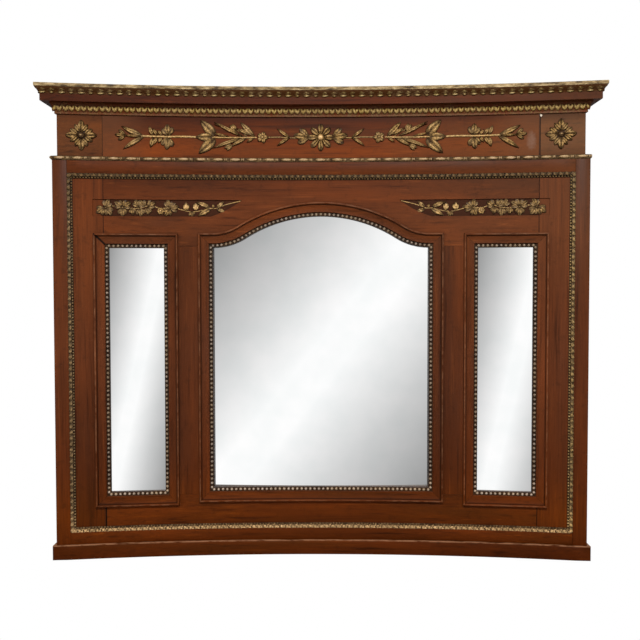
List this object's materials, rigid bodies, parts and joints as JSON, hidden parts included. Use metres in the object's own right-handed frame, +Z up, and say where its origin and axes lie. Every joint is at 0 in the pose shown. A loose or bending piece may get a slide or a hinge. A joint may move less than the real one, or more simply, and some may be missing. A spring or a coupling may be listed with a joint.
{
  "type": "trumeau mirror",
  "caption": "Wide overmantel mirror in a walnut frame that is concave in plan: arched centre plate, two side plates, carved frieze with gilt sprays, projecting moulded cornice.",
  "frame": {"origin": "middle of the footprint, at the height of the surface it stands on", "axes": "+X to the viewer's right, +Y back to the wall, +Z up; the concave front faces -Y"},
  "size_m": [1.68, 0.2044, 1.427],
  "materials": {
    "walnut": "worn satin polish",
    "gilt_wood": "worn gilding",
    "pine": "bare, aged",
    "mirror_plate": "silvered glass, polished",
    "iron": "dark, forged"
  },
  "bodies": {
    "root": {"back_rail_bottom": "pine", "back_rail_top": "pine", "base_rail": "walnut", "base_returns": "walnut", "bed_moulding": "walnut", "border_rail_bottom": "walnut", "border_rail_top": "walnut", "border_stile_left": "walnut", "border_stile_right": "walnut", "centre_backing": "pine", "centre_frame_bottom": "walnut", "centre_frame_left": "walnut", "centre_frame_right": "walnut", "centre_frame_top": "walnut", "centre_glass": "mirror_plate", "centre_pearl_slips": "gilt_wood", "cornice_packing": "pine", "corona_board": "walnut", "crown_moulding": "walnut", "field_rail_bottom": "walnut", "field_rail_top": "walnut", "field_stile_left": "walnut", "field_stile_right": "walnut", "frieze_block_left": "walnut", "frieze_block_right": "walnut", "frieze_flower": "gilt_wood", "frieze_panel": "walnut", "garland_left": "gilt_wood", "garland_right": "gilt_wood", "gilt_moulding_bottom": "gilt_wood", "gilt_moulding_left": "gilt_wood", "gilt_moulding_right": "gilt_wood", "gilt_moulding_top": "gilt_wood", "glazing_fillets": "pine", "hanging_plates": "iron", "left_backing": "pine", "left_frame_bottom": "walnut", "left_frame_left": "walnut", "left_frame_right": "walnut", "left_frame_top": "walnut", "left_glass": "mirror_plate", "left_pearl_slips": "gilt_wood", "muntin_left": "walnut", "muntin_right": "walnut", "necking_moulding": "walnut", "right_backing": "pine", "right_frame_bottom": "walnut", "right_frame_left": "walnut", "right_frame_right": "walnut", "right_frame_top": "walnut", "right_glass": "mirror_plate", "right_pearl_slips": "gilt_wood", "rosette_left": "gilt_wood", "rosette_right": "gilt_wood", "side_board_left": "walnut", "side_board_right": "walnut", "spray_left": "gilt_wood", "spray_right": "gilt_wood", "top_board": "walnut"}
  },
  "joints": []
}
